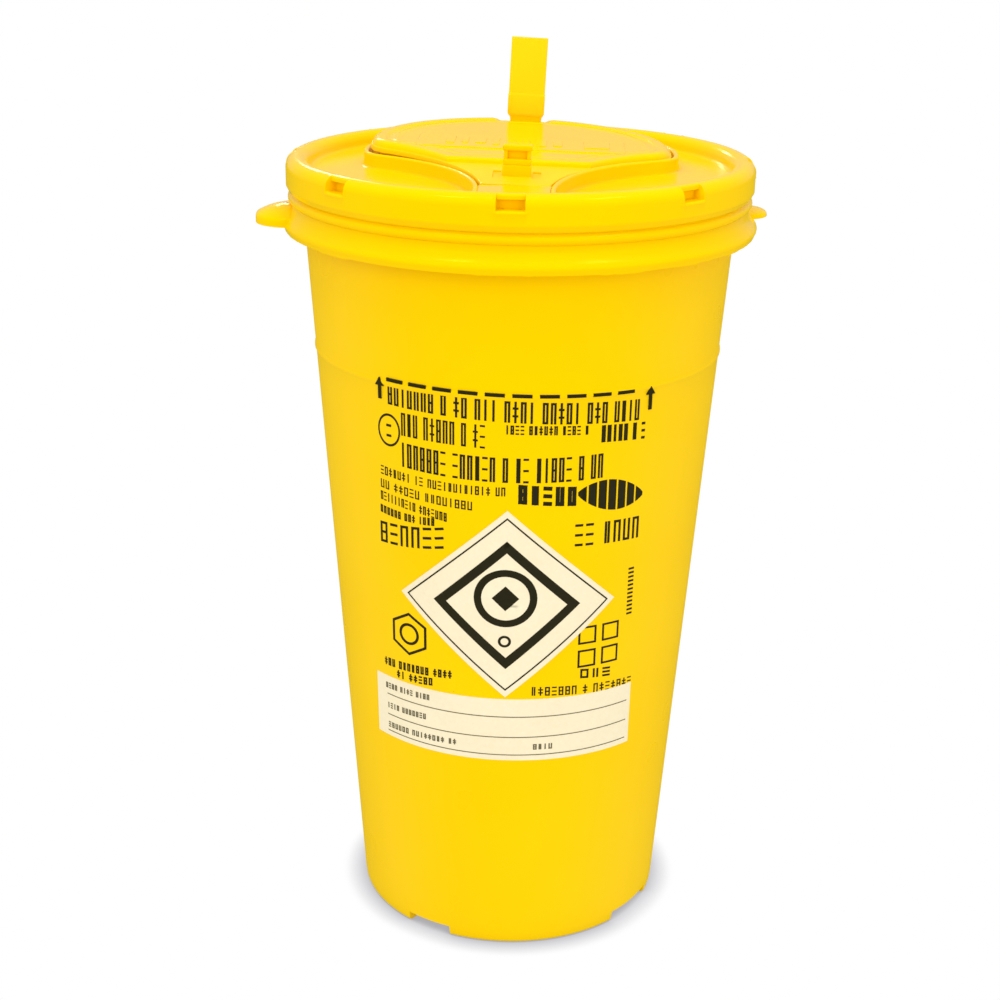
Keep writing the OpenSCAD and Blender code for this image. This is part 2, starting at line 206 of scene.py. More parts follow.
def printed_film(name, colour, shade, roughness):
    """Matt printed film with a faint fibre mottle."""
    material, tree = new_material(name)
    out = add(tree, "ShaderNodeOutputMaterial")
    shader = add(tree, "ShaderNodeBsdfPrincipled", Roughness=roughness, IOR=1.45)
    place = add(tree, "ShaderNodeTexCoord")
    mottle = add(tree, "ShaderNodeTexNoise", Scale=900.0, Detail=6.0, Roughness=0.65)
    cloud = add(tree, "ShaderNodeTexNoise", Scale=45.0, Detail=3.0)
    both = add(tree, "ShaderNodeMath", operation="ADD")
    half = add(tree, "ShaderNodeMath", operation="MULTIPLY")
    half.inputs[1].default_value = 0.5
    tone = ramp(tree, (0.35, shade), (0.6, colour))
    bump = add(tree, "ShaderNodeBump", Strength=0.35, Distance=0.00003)
    wire(tree, (place, "Object", mottle, "Vector"), (place, "Object", cloud, "Vector"),
         (mottle, "Fac", both, 0), (cloud, "Fac", both, 1), (both, 0, half, 0), (half, 0, tone, "Fac"),
         (tone, "Color", shader, "Base Color"), (mottle, "Fac", bump, "Height"),
         (bump, "Normal", shader, "Normal"), (shader, "BSDF", out, "Surface"))
    return material


YELLOW = (1.0, 0.637, 0.0)
YELLOW_DEEP = (0.985, 0.612, 0.0)
pot_plastic = moulded_plastic("pot_plastic", YELLOW, YELLOW_DEEP, 0.3)
lid_plastic = moulded_plastic("lid_plastic", YELLOW, YELLOW_DEEP, 0.17, grain=0.3, wave=0.12)
thin_plastic = moulded_plastic("thin_plastic", (1.0, 0.68, 0.01), (0.99, 0.64, 0.004), 0.24)
satin_plastic = moulded_plastic("satin_plastic", YELLOW, YELLOW_DEEP, 0.48, grain=0.9, wave=0.15)
cream_film = printed_film("cream_film", (0.93, 0.83, 0.58), (0.9, 0.78, 0.52), 0.5)
ink = printed_film("ink", (0.006, 0.006, 0.006), (0.012, 0.011, 0.009), 0.42)
grey_ink = printed_film("grey_ink", (0.12, 0.1, 0.06), (0.17, 0.14, 0.08), 0.5)


# ---------- mesh helpers ----------
def new_object(name, data):
    """An object that carries some data, linked into the scene."""
    thing = bpy.data.objects.new(name, data)
    bpy.context.scene.collection.objects.link(thing)
    return thing


def new_mesh(name, points, faces):
    """A mesh from points in millimetres."""
    mesh = bpy.data.meshes.new(name)
    mesh.from_pydata([Vector(p) * MM for p in points], [], faces)
    return mesh


def make_piece(name, part, body, sharp=40, material=lid_plastic):
    """A mesh piece from (points, faces), cleaned, smoothed and riding on a body if one is named."""
    mesh = new_mesh(name, *part)
    work = bmesh.new()
    work.from_mesh(mesh)
    bmesh.ops.remove_doubles(work, verts=work.verts, dist=0.0015 * MM)
    bmesh.ops.dissolve_degenerate(work, edges=work.edges, dist=0.0005 * MM)
    bmesh.ops.recalc_face_normals(work, faces=work.faces)
    work.to_mesh(mesh)
    work.free()
    mesh.shade_smooth()
    mesh.set_sharp_from_angle(angle=radians(sharp))
    mesh.materials.append(material)
    piece = new_object(name, mesh)
    if body:
        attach(piece, body)
    return piece


def arc(centre, radius, start, end, steps):
    """Points along an arc between two angles in degrees, both ends included."""
    turns = [radians(start + (end - start) * i / steps) for i in range(steps + 1)]
    return [(centre[0] + radius * cos(a), centre[1] + radius * sin(a)) for a in turns]


def near(r, z, *steps):
    """Points given by their offsets from one point."""
    return [(r + dr, z + dz) for dr, dz in steps]


def smooth(t):
    """Soft step from 0 to 1."""
    t = max(0.0, min(1.0, t))
    return t * t * (3 - 2 * t)


def at_azimuth(radius, azimuth, z):
    """Point at an azimuth in degrees from the front."""
    a = radians(azimuth)
    return (radius * sin(a), -radius * cos(a), z)


def lathe(sections, azimuths):
    """Closed ring of quads. sections[k] is the closed outline (r, z) at azimuths[k]."""
    count = len(sections[0])
    points = [at_azimuth(r, a, z) for a, section in zip(azimuths, sections) for r, z in section]
    faces = []
    for k in range(len(azimuths)):
        here, after = k * count, (k + 1) % len(azimuths) * count
        for i in range(count):
            j = (i + 1) % count
            faces.append((here + i, here + j, after + j, after + i))
    return points, faces


def shrunk(loop, factor=0.985):
    """The same loop drawn a little towards its middle, which keeps a cap's shading flat."""
    middle = sum((Vector(p) for p in loop), Vector()) / len(loop)
    return [tuple(middle + (Vector(p) - middle) * factor) for p in loop]


def skin(loops, closed=True, capped=False):
    """Quads between loops of equally many points, with or without end caps."""
    if capped:
        loops = [shrunk(loops[0]), *loops, shrunk(loops[-1])]
    count = len(loops[0])
    points = [p for loop in loops for p in loop]
    faces = []
    for k in range(len(loops) - 1):
        for i in range(count if closed else count - 1):
            j = (i + 1) % count
            faces.append((k * count + i, k * count + j, (k + 1) * count + j, (k + 1) * count + i))
    if capped:
        faces += [tuple(range(count))[::-1], tuple(range(len(points) - count, len(points)))]
    return points, faces


def solid(loops):
    """Closed form through loops, with end caps."""
    return skin(loops, capped=True)


def band(loops):
    """Closed ring: the last loop joins the first one."""
    return skin(loops + [loops[0]])


def merge(*parts):
    """Several (points, faces) as one."""
    points, faces = [], []
    for more_points, more_faces in parts:
        start = len(points)
        points += list(more_points)
        faces += [tuple(start + i for i in face) for face in more_faces]
    return points, faces


def moved(part, matrix):
    """A part under a matrix."""
    points, faces = part
    return [tuple(matrix @ Vector(p)) for p in points], faces


def feature_azimuths(step, features, radius, offsets):
    """Even azimuths plus fine ones at both edges of each feature (azimuth: half width)."""
    around = [360 * i / round(360 / step) for i in range(round(360 / step))]
    edges = [c + side * half for c, half in features.items() for side in (-1, 1)]
    fine = [(e + degrees(o / radius)) % 360 for e in edges for o in offsets]
    keep = [a for a in around if all(abs((a - f + 180) % 360 - 180) > step / 4 for f in fine)]
    return sorted(keep + fine)


def nearest_offset(azimuth, centres, radius):
    """Distance along the surface from the nearest feature's centre."""
    away = min(((azimuth - c + 180) % 360 - 180 for c in centres), key=abs)
    return radians(away) * radius


# ---------- flap outline ----------
# Its round corner touches the cap from inside and the flare from outside, which places the corner's centre
to_round = CAP_R - ROUND_R
to_flare = FLARE_R + ROUND_R
between = hypot(FLARE_X, NECK_Y - CAP_Y)
along = (to_round ** 2 - to_flare ** 2 + between ** 2) / (2 * between)
aside = sqrt(to_round ** 2 - along ** 2)
flare_dir = Vector((FLARE_X, NECK_Y - CAP_Y)) / between
ROUND_X = along * flare_dir.x - aside * flare_dir.y
ROUND_Y = CAP_Y + along * flare_dir.y + aside * flare_dir.x
FLARE_TURN = degrees(atan2(NECK_Y - ROUND_Y, FLARE_X - ROUND_X))
CAP_TURN = degrees(atan2(ROUND_Y - CAP_Y, ROUND_X))


def mushroom(d, from_y):
    """The flap's outline moved inwards by d, from its front right end round to its front left."""
    flare = FLARE_R + d
    start = 180.0
    right = []
    if from_y < NECK_Y:
        right.append((NECK_HALF - d, from_y))
    else:
        start = 180 - degrees(asin((from_y - NECK_Y) / flare))
    right += arc((FLARE_X, NECK_Y), flare, start, 180 + FLARE_TURN, 30)
    right += arc((ROUND_X, ROUND_Y), ROUND_R - d, FLARE_TURN, CAP_TURN, 14)[1:]
    cap = arc((0, CAP_Y), CAP_R - d, CAP_TURN, 180 - CAP_TURN, 96)[1:-1]
    left = [(-x, y) for x, y in reversed(right)]
    return right + cap + left


def sweep(section, from_y, front_step=0.0):
    """Loops of the mushroom outline for a section of (inset, z) points. front_step moves the
    front edge back by that much of the inset."""
    first = section[0][0]
    return [[(x, y, z) for x, y in mushroom(d, from_y + front_step * (d - first))]
            for d, z in section]


# The hair by which the flap stands open, about its hinge and about its own length
hinge_at = joints["flap_turn"]
ajar = (Matrix.Translation(hinge_at) @ Matrix.Rotation(AJAR_TURN, 4, "X")
        @ Matrix.Rotation(AJAR_ROLL, 4, "Y") @ Matrix.Translation(-hinge_at))


# ---------- container ----------
NOTCH_H = 2.7
# Azimuth and half width of each notch, in degrees; the front right one is the widest
NOTCHES = {330: 9.15, 58: 12.4, 150: 9.15, 240: 9.15}


def container_body():
    """Foot, tapered wall inside and out, and the raised fill line, as one moulding."""
    foot_in = FOOT_R - 2.9
    corner = 1.0
    outer = near(foot_in, 0, (0, 0.3), (0.1, 0.08), (0.3, 0))
    outer += arc((wall_r(0) - corner, corner), corner, -90, 0, 8)
    heights = (2.2, NOTCH_H, 3.2, 4, 6, 10, 16, 24, 36, 50, 66, 82, 98, 112, 124, 136)
    outer += [(wall_r(z), z) for z in heights]
    outer.append((wall_r(FILL_Z - 0.9), FILL_Z - 0.9))
    outer += near(wall_r(FILL_Z), FILL_Z, (0.12, -0.55), (0.27, -0.2), (0.27, 0.2), (0.12, 0.55))
    outer.append((wall_r(FILL_Z + 0.9), FILL_Z + 0.9))
    outer += [(wall_r(z), z) for z in (150, 158, 165, SHOULDER_Z)]
    inner = [(wall_r(z) - WALL_T, z) for z in (SHOULDER_Z, 150, 120, 90, 60, 30, 12, 7)]
    inner += [(wall_r(5.4) - WALL_T - 0.2, 5.45), (foot_in, 5.0)]
    section = outer + inner
    azimuths = feature_azimuths(2.5, NOTCHES, FOOT_R, (-0.15, -0.03, 0.03, 0.15))
    sections = []
    for a in azimuths:
        inside = max(half - abs((a - c + 180) % 360 - 180) for c, half in NOTCHES.items())
        lift = smooth((radians(inside) * FOOT_R + 0.15) / 0.3)
        sections.append([(r, z + lift * max(0.0, NOTCH_H - z)) for r, z in section])
    return lathe(sections, azimuths)


pot = make_piece("pot_moulding", container_body(), "container", 32, pot_plastic)
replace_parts(pot, "foot_ring", "container_wall", "fill_line_ring")


def skirt():
    """Drip skirt that flares from under the lid, with the ragged flash that its mould leaves."""
    top, edge = skirt_high.z, skirt_low.z
    outer = near(NECK_R, top, (-0.1, 0.45), (2.6, 0.45), (2.75, 0.1), (2.95, -0.8))
    outer += near(SKIRT_R, top, (-1.5, -2.1), (-0.7, -2.95), (-0.2, -3.6), (-0.02, -4.1), (-0.1, -4.6))
    outer += near(SKIRT_R, edge, (-0.45, 0.25))
    inner = near(SKIRT_R, edge, (-1.0, 0), (-1.35, 0.05), (-1.3, 1.5), (-1.6, 2.4))
    inner += near(NECK_R, top, (0.6, -1.3), (-0.1, -1.2))
    azimuths = [i * 0.75 for i in range(480)]
    sections = []
    for a in azimuths:
        seat = Vector(at_azimuth(7.0, a, 0))
        rag = noise.noise(seat * 0.9) + 0.6 * noise.noise(seat * 3.1 + Vector((9, 0, 0)))
        drop = 0.08 + 0.4 * max(0.0, rag)
        lip = near(SKIRT_R, edge, (-0.5, 0.02 - drop * 0.6), (-0.53, -drop), (-0.63, -drop))
        sections.append(outer + lip + inner)
    return lathe(sections, azimuths)


skirt_piece = make_piece("drip_skirt_moulding", skirt(), "container", 50)
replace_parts(skirt_piece, "drip_skirt")


def lug(node, turn, reach, half, top, floor, dome_r):
    """Finger lug: a rounded tongue with a domed glossy top and a turned-down edge."""
    on_left = box_mm(node)[1].x < 0
    crest_r = SKIRT_R - 2.5
    start_x = NECK_R + 1.2
    # Inset of each loop and its drop from the dome, where the first one is the flat underside
    levels = [(0.0, None), (0.0, -0.7), (0.1, -0.32), (0.35, -0.08), (0.8, 0.0)]
    levels += [(inset, 0.0) for inset in (1.7, 3.0, 4.4, 5.8, 7.0)]
    loops = []
    for inset, drop in levels:
        tip, side = reach - inset, half - inset
        corner = max(0.15, half - 0.8 - inset)
        run = [start_x + (tip - corner - start_x) * t for t in (0, 0.35, 0.7)]
        loop = [(x, -side) for x in run]
        loop += arc((tip - corner, corner - side), corner, -90, 0, 10)
        loop += arc((tip - corner, side - corner), corner, 0, 90, 10)
        loop += [(x, side) for x in reversed(run)]
        if drop is None:
            loops.append([(x, y, floor) for x, y in loop])
        else:
            centre = top + drop - dome_r
            loops.append([(x, y, centre + sqrt(dome_r ** 2 - (x - crest_r) ** 2 - y ** 2)) for x, y in loop])
    spin = Matrix.Rotation(radians(turn) + (pi if on_left else 0), 4, "Z")
    return moved(solid(loops), spin)


LUG_LOW = skirt_low.z + 0.5
# Turn in degrees, reach, half width, crest height, underside and dome radius
LUGS = {"lug_left": (7, 61.1, 9.0, skirt_high.z, LUG_LOW + 0.6, 17.0),
        "lug_right": (12, 59.5, 7.6, skirt_high.z - 1.9, LUG_LOW + 1.1, 26.0)}
for node, shape in LUGS.items():
    lug_piece = make_piece(node + "_moulding", lug(node, *shape), "container", 50)
    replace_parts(lug_piece, node)

# ---------- lid ----------
WINDOW_HALF = 3.0
SWELL = 0.13
WINDOWS = {45 * i - 0.5: degrees(WINDOW_HALF / LID_R) for i in range(8)}


def window_path(steps):
    """Outline of the rim where a window is cut: a shallow recess above a deep pocket."""
    lip_r, back_r = BAR_MID_R + 1.15, BAR_MID_R - 0.1
    roof, floor = BAR_Z + 1.35, DECK_Z + 0.05
    top_z = BAR_Z + sqrt(BAR_R ** 2 - (lip_r - 0.3 - BAR_MID_R) ** 2)
    corners = [(BAR_MID_R, CREST_Z), (lip_r - 0.3, top_z), (lip_r, top_z - 0.35), (lip_r, roof + 0.15)]
    corners += [(lip_r - 0.2, roof), (back_r, roof), (back_r, floor), (LID_R - 0.15, floor - 0.02)]
    corners += [(LID_R, floor - 0.25)]
    lengths = [hypot(b[0] - a[0], b[1] - a[1]) for a, b in zip(corners, corners[1:])]
    counts = [max(1, round(steps * part / sum(lengths))) for part in lengths]
    while sum(counts) != steps:
        counts[counts.index(max(counts))] += 1 if sum(counts) < steps else -1
    path = [corners[0]]
    for (r0, z0), (r1, z1), n in zip(corners, corners[1:], counts):
        path += [(r0 + (r1 - r0) * i / n, z0 + (z1 - z0) * i / n) for i in range(1, n + 1)]
    return path


def bar_path(steps):
    """The same stretch of the rim between windows: a quarter of the bar and its flat side."""
    floor = DECK_Z - 0.2
    quarter = BAR_R * pi / 2
    total = quarter + BAR_Z - floor
    path = []
    for i in range(steps + 1):
        s = total * i / steps
        if s <= quarter:
            a = pi / 2 - s / BAR_R
            path.append((BAR_MID_R + BAR_R * cos(a), BAR_Z + BAR_R * sin(a)))
        else:
            path.append((LID_R, BAR_Z - (s - quarter)))
    return path


def rim():
    """Rounded bar over a thin wall with a bead round its foot, and eight windows cut in it."""
    steps = 30
    plain, window = bar_path(steps), window_path(steps)
    groove, thin = LID_Z + 2.65, LID_R - 1.1
    inner = near(RIM_IN_R, DECK_Z, (-1.3, 0), (-0.7, 0.06), (-0.3, 0.25), (-0.06, 0.6))
    inner += arc((BAR_MID_R, BAR_Z), BAR_R, 168, 98, 9)
    below = near(LID_R, LID_Z, (0, 6.4), (0, 4.5), (0, 4.05), (-0.05, 3.95), (-0.12, 3.85), (-0.55, 2.95))
    below += near(LID_R, groove, (-0.75, 0.02)) + near(thin, groove, (-0.05, -0.05), (-0.1, -0.2))
    below += near(thin, LID_Z, (0.02, 2.28))
    below += near(thin - 0.25, LID_Z + 1.2, *[(0.98 * cos(radians(a)), 1.05 * sin(radians(a)))
                                              for a in (62, 45, 28, 12, 0, -15, -32, -50, -66)])
    below += near(thin, LID_Z, (0.05, 0.12), (-0.1, 0))
    below += near(LID_R, LID_Z, (-1.5, 0), (-1.6, 0.1), (-1.6, 6.9)) + near(RIM_IN_R, LID_Z, (1.3, 6.9))
    below += near(RIM_IN_R, DECK_Z, (1.3, -1.0), (-0.02, -1.0), (-0.02, -0.05), (-1.3, -0.05))
    offsets = (-0.2, -0.06, 0.0, 0.06, 0.14, 0.24, 0.38, 0.55, 0.75)
    azimuths = feature_azimuths(1.5, WINDOWS, LID_R, offsets)
    azimuths += [w % 360 + degrees(o / LID_R) for w in WINDOWS for o in (-1.6, 0, 1.6)]
    azimuths = sorted(set(round(a % 360, 5) for a in azimuths))
    sections = []
    for a in azimuths:
        out = abs(nearest_offset(a, WINDOWS, LID_R)) - WINDOW_HALF
        share = smooth((0.07 - out) / 0.14)
        # The moulding swells a little along each window's edge
        swell = SWELL * smooth(1 - abs(out - 0.28) / 0.42) if out > -0.1 else 0.0
        low_swell = SWELL * smooth(1 - max(0.0, out) / 0.5)
        run = []
        for i, ((pr, pz), (wr, wz)) in enumerate(zip(plain, window)):
            turn = atan2(max(0.0, pz - BAR_Z), pr - BAR_MID_R + 1e-9)
            lift = swell * (smooth(i / 8) if pz > BAR_Z - 0.4 else 1.0)
            run.append((pr + lift * cos(turn) + (wr - pr - lift * cos(turn)) * share,
                        pz + lift * sin(turn) + (wz - pz - lift * sin(turn)) * share))
        end_r, end_z = run[-1]
        lower = [(end_r + low_swell, end_z - 0.22), (LID_R + low_swell * 0.8, end_z - 0.45)]
        sections.append(inner + run + lower + below)
    return lathe(sections, azimuths)


rim_piece = make_piece("lid_rim_moulding", rim(), "container", 45)
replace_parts(rim_piece, "lid_rim", "rim_bead")


def collar():
    """Wall round the flap, with a rounded top and a fillet where it meets the tray."""
    top = CREST_Z - 0.06
    half = COLLAR_T / 2
    section = near(0, DECK_Z, (-0.75, 0), (-0.4, 0.07), (-0.15, 0.25), (-0.02, 0.6))
    section += [(half - r, z) for r, z in arc((0, top - half), half, 0, 180, 12)]
    section += near(0, DECK_Z, (COLLAR_T, -0.1), (-0.75, -0.1))
    loops = sweep(section, COLLAR_FRONT_Y)
    points, faces = skin(loops + [loops[0]], False)
    count = len(loops[0])
    first = tuple(k * count for k in range(len(loops)))
    last = tuple(k * count + count - 1 for k in range(len(loops)))
    return points, faces + [first[::-1], last]


collar_piece = make_piece("collar_moulding", collar(), "container")
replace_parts(collar_piece, "collar")


# ---------- flap ----------
def applied(piece):
    """Turns a piece's modifiers into its mesh."""
    made = bpy.data.meshes.new_from_object(piece.evaluated_get(bpy.context.evaluated_depsgraph_get()))
    piece.modifiers.clear()
    piece.data = made


def cut_away(piece, part):
    """Cuts a closed form out of a piece."""
    cutter = new_object("cutter", new_mesh("cutter", *part))
    boolean = piece.modifiers.new("cut", "BOOLEAN")
    boolean.object = cutter
    boolean.solver = "EXACT"
    bpy.context.view_layer.update()
    applied(piece)
    bpy.data.objects.remove(cutter)


def block_part(low, high):
    """Plain block between two corners."""
    points = [(x, y, z) for z in (low[2], high[2]) for x, y in (
        (low[0], low[1]), (high[0], low[1]), (high[0], high[1]), (low[0], high[1]))]
    faces = [(3, 2, 1, 0), (4, 5, 6, 7), (0, 1, 5, 4), (1, 2, 6, 5), (2, 3, 7, 6), (3, 0, 4, 7)]
    return points, faces


def panel():
    """Plate of the flap, with its upper edge rounded over."""
    section = near(PANEL_IN, PANEL_LOW, (0.5, 0), (0.12, 0.05), (0, 0.2))
    section += near(PANEL_IN, PANEL_TOP, (0, -0.32), (0.08, -0.12), (0.22, -0.03), (0.4, 0))
    return moved(solid(sweep(section, HINGE_Y + HINGE_HALF_GAP)), ajar)


CATCH_W = base_high.x - base_low.x
CATCH_MID_Y = joints["catch_flex"].y
SLOT_HALF = 0.9
SLOT_HALF_LONG = 4
SLOT_DEEP = 0.3
SLOT_GAP = 0.3
flap_panel = make_piece("flap_panel_moulding", panel(), None, material=satin_plastic)
for side in (-1, 1):
    slot_x = side * (CATCH_W / 2 + SLOT_GAP + SLOT_HALF)
    slot_low = (slot_x - SLOT_HALF, CATCH_MID_Y - SLOT_HALF_LONG, PANEL_TOP - SLOT_DEEP)
    slot_high = (slot_x + SLOT_HALF, CATCH_MID_Y + SLOT_HALF_LONG, PANEL_TOP + 1)
    cut_away(flap_panel, moved(block_part(slot_low, slot_high), ajar))
flap_panel.data.shade_smooth()
flap_panel.data.set_sharp_from_angle(angle=radians(30))
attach(flap_panel, "flap")
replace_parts(flap_panel, "flap_panel")


def border_height(x, y, z):
    """Border heights, let down towards the front and to a ledge where the pull strip stands."""
    front_low, ledge = FIELD_Z + 0.14, PANEL_TOP + 0.45
    ledge_left, ledge_right, slope = -7.6, 6.4, 1.6
    if y < CAP_Y:
        return z if z <= front_low else z + (front_low - z) * smooth((-4 - y) / 9)
    share = smooth((x - ledge_left) / slope) * smooth((ledge_right - x) / slope)
    return z if z <= ledge else z + (ledge - z) * share


def border():
    """Raised border round the cap, rounded over and sloping down to the field."""
    outer, inner = BORDER_IN, BORDER_IN + BORDER_W
    section = near(outer, PANEL_TOP, (-0.25, -0.05), (-0.2, 0.1), (-0.05, 0.5), (0.2, 0.85), (0.55, 1.1))
    section += near(outer, BORDER_TOP, (1.0, -0.1), (1.5, 0))
    section += near(inner, BORDER_TOP, (-0.75, 0), (-0.45, -0.04))
    section += near(inner, FIELD_Z, (-0.15, 0.16), (0.1, 0.02), (0.4, -0.02))
    section += near(inner, PANEL_TOP, (0.4, -0.05))
    loops = sweep(section, BORDER_FRONT_Y, 1.0)
    return moved(band([[(x, y, border_height(x, y, z)) for x, y, z in loop] for loop in loops]), ajar)


def field():
    """Sunken field inside the border, with a low ridge round it."""
    inset = BORDER_IN + BORDER_W
    section = near(inset, PANEL_TOP, (0.1, -0.05))
    section += near(inset, FIELD_Z, (0.1, 0), (1.2, 0), (1.45, 0.1), (1.8, 0.12), (2.2, 0.1), (2.5, 0))
    return moved(solid(sweep(section, BORDER_FRONT_Y + BORDER_W + 0.1, 1.0)), ajar)


def rounded_rectangle(half_x, half_y, corner, mid, steps=5):
    """Outline of a rectangle with round corners."""
    loop = []
    for sx, sy, start in ((1, 1, 0), (-1, 1, 90), (-1, -1, 180), (1, -1, 270)):
        centre = (mid[0] + sx * (half_x - corner), mid[1] + sy * (half_y - corner))
        loop += arc(centre, corner, start, start + 90, steps)
    return loop


def raised_plate(low, top, corner, edge):
    """Plate between two corners, with its top edge rounded over."""
    half_x, half_y = (top[0] - low[0]) / 2, (top[1] - low[1]) / 2
    mid = ((top[0] + low[0]) / 2, (top[1] + low[1]) / 2)
    loops = []
    for inset, z in ((-edge * 0.4, low[2]), (0, low[2] + edge * 0.4), (0.05, top[2] - edge * 0.6),
                     (edge * 0.4, top[2] - edge * 0.12), (edge, top[2])):
        shape = rounded_rectangle(half_x - inset, half_y - inset, max(0.1, corner - inset), mid)
        loops.append([(x, y, z) for x, y in shape])
    return solid(loops)


def name_plate():
    """Blank raised plate with a row of plain raised bars, standing for moulded marks."""
    bar_low, bar_top = PLATE_Z - 0.1, PLATE_Z + 0.22
    parts = [raised_plate((plate_low.x, plate_low.y, FIELD_Z - 0.05), (plate_high.x, plate_high.y, PLATE_Z),
                          1.2, 0.3)]
    mid_y = (plate_low.y + plate_high.y) / 2
    x = plate_low.x + 6.5
    bars = []
    for i, width in enumerate((2.2, 1.6, 2.6, 1.6, 2.2, 1.6, 2.6, 2.2)):
        bars.append((x, x + width, 3.4 if i % 3 else 4.4))
        x += width + 1.5
    bars.append((plate_high.x - 9.5, plate_high.x - 3.5, 4.4))
    for left, right, tall in bars:
        parts.append(raised_plate((left, mid_y - tall, bar_low), (right, mid_y + tall, bar_top), 0.5, 0.2))
    return moved(merge(*parts), ajar)


def plug():
    """Ring under the flap, with a rounded lower edge."""
    outer, inner, low = 3.6, 4.8, plug_low.z
    section = near(outer, PANEL_LOW, (0, 0.05)) + near(outer, low, (0, 0.5), (0.1, 0.2), (0.35, 0))
    section += near(inner, low, (-0.25, 0), (-0.05, 0.15), (0, 0.4)) + near(inner, PANEL_LOW, (0, 0.05))
    return moved(band(sweep(section, plug_low.y, 1.0)), ajar)


for name, part, node in (("flap_border_moulding", border(), "flap_border"),
                         ("flap_field", field(), "flap_disc"),
                         ("flap_name_plate", name_plate(), "flap_plate"),
                         ("flap_plug_moulding", plug(), "flap_plug")):
    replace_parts(make_piece(name, part, "flap", 35), node)


def hinge_web():
    """Flexing web of the flap's hinge: a shallow groove between land and flap."""
    half, reach, steps = 7.4, HINGE_HALF_GAP + 0.15, 8
    loops = []
    for i in range(steps + 1):
        y = HINGE_Y - reach + i / steps * 2 * reach
        dip = 0.28 * sin(pi * i / steps)
        top, low = PANEL_TOP - 0.02 - dip, PANEL_TOP - 0.75 + dip * 0.8
        loops.append([(-half, y, low), (half, y, low), (half, y, top), (-half, y, top)])
    return solid(loops)


web = make_piece("flap_hinge_web", hinge_web(), None)
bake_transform(web)
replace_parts(web, "flap_hinge")

# ---------- pull strip ----------
strip_at = joints["strip_fold"]
# The strip stands a little behind its fold, so that it lies on the flap when it is folded down
STRIP_Y = strip_at.y + 1.05
STRIP_W = 9.2
STRIP_TOP = 210.0
ROOT_Z = (ajar @ Vector((0, STRIP_Y, PANEL_TOP + 0.9))).z
STRIP_FOOT_Z = ROOT_Z + 0.75
LEAN = radians(2.4)


def strip_shape():
    """Blade over a stouter foot, with a ledge between them and low ribs at the foot's sides."""
    half = STRIP_W / 2
    tall = STRIP_TOP - STRIP_FOOT_Z
    ledge = 5.5
    blade, foot, rib = 0.42, 0.62, 0.8
    fronts = [(0.0, 0.3), (0.25, foot - 0.1), (0.8, foot), (ledge - 0.35, foot), (ledge - 0.1, foot - 0.03)]
    fronts += [(ledge + 0.1, blade + 0.04), (ledge + 0.3, blade), (tall - 0.3, blade)]
    fronts += [(tall - 0.08, blade - 0.08), (tall, blade - 0.25)]
    loops = []
    for z, thick in fronts:
        w = half - 0.35 * (1 - smooth(z / 0.9))
        w -= (0.1 if z > ledge + 0.05 else 0.0) + (0.12 if z > tall - 0.05 else 0.0)
        side_rib = rib if 0.5 < z < ledge - 0.2 else thick
        back = 0.5 if z > 0.2 else 0.3
        right = near(w, 0, (-0.75, -thick), (-0.55, -side_rib), (-0.12, -side_rib), (0, -side_rib + 0.12))
        right += near(w, back, (0, -0.15), (-0.15, 0))
        left = [(-x, y) for x, y in reversed(right)]
        loops.append([(x, y, z) for x, y in right + left])
    stand = Matrix.Translation((0, STRIP_Y, STRIP_FOOT_Z)) @ Matrix.Rotation(LEAN, 4, "Y")
    return moved(solid(loops), stand)


strip = make_piece("pull_strip_moulding", strip_shape(), "pull_strip", 35, thin_plastic)
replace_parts(strip, "pull_strip")


def web_between(width, y, thick, low, high, lean=0.0):
    """Thin web that crosses a fold between two heights, narrowest at the middle."""
    steps = 8
    loops = []
    for i in range(steps + 1):
        z = low + (high - low) * i / steps
        spread = abs(2 * i / steps - 1) ** 2
        h = thick / 2 * (1 + 0.9 * spread)
        w = width / 2 + 0.25 * spread
        shift = tan(lean) * (z - low)
        loops.append([(x + shift, y + dy, z) for x, dy in ((-w, -h), (w, -h), (w, h), (-w, h))])
    return solid(loops)


strip_web_part = web_between(STRIP_W - 1.4, STRIP_Y, 0.36, ROOT_Z - 1.5, STRIP_FOOT_Z + 0.25, LEAN)
strip_web = make_piece("pull_strip_hinge_web", strip_web_part, None)
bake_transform(strip_web)
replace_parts(strip_web, "strip_root")

# ---------- catch ----------
catch_at = joints["catch_flex"]
CATCH_FRONT = base_low.y


def rounded_block(low, high, edge, steps=3):
    """Block with all its edges rounded, as stacked rounded rectangles."""
    half = ((high[0] - low[0]) / 2, (high[1] - low[1]) / 2)
    mid = ((high[0] + low[0]) / 2, (high[1] + low[1]) / 2)
    turns = [radians(90 * i / steps) for i in range(steps + 1)]
    rise = [(edge * (1 - sin(a)), low[2] + edge * (1 - cos(a))) for a in turns]
    rise += [(inset, high[2] - (z - low[2])) for inset, z in reversed(rise)]
    loops = []
    for inset, z in rise:
        shape = rounded_rectangle(half[0] - inset, half[1] - inset, max(0.03, edge - inset + 0.02), mid, 4)
        loops.append([(x, y, z) for x, y in shape])
    return solid(loops)


def catch_block():
    """Block on the flap that carries the catch."""
    half = CATCH_W / 2
    high = (half, base_high.y, base_high.z - 0.1)
    return moved(rounded_block((-half, CATCH_FRONT, PANEL_TOP - 0.3), high, 0.22), ajar)


def sloped_block(half, front, back, low, top_front, top_back, edge):
    """Block whose top rises from front to back."""
    points, faces = rounded_block((-half, front, low), (half, back, top_back), edge)
    bent = []
    for x, y, z in points:
        if z > (low + top_back) / 2:
            share = (y - front) / (back - front)
            z += (top_front - top_back) * (1 - share)
        bent.append((x, y, z))
    return bent, faces


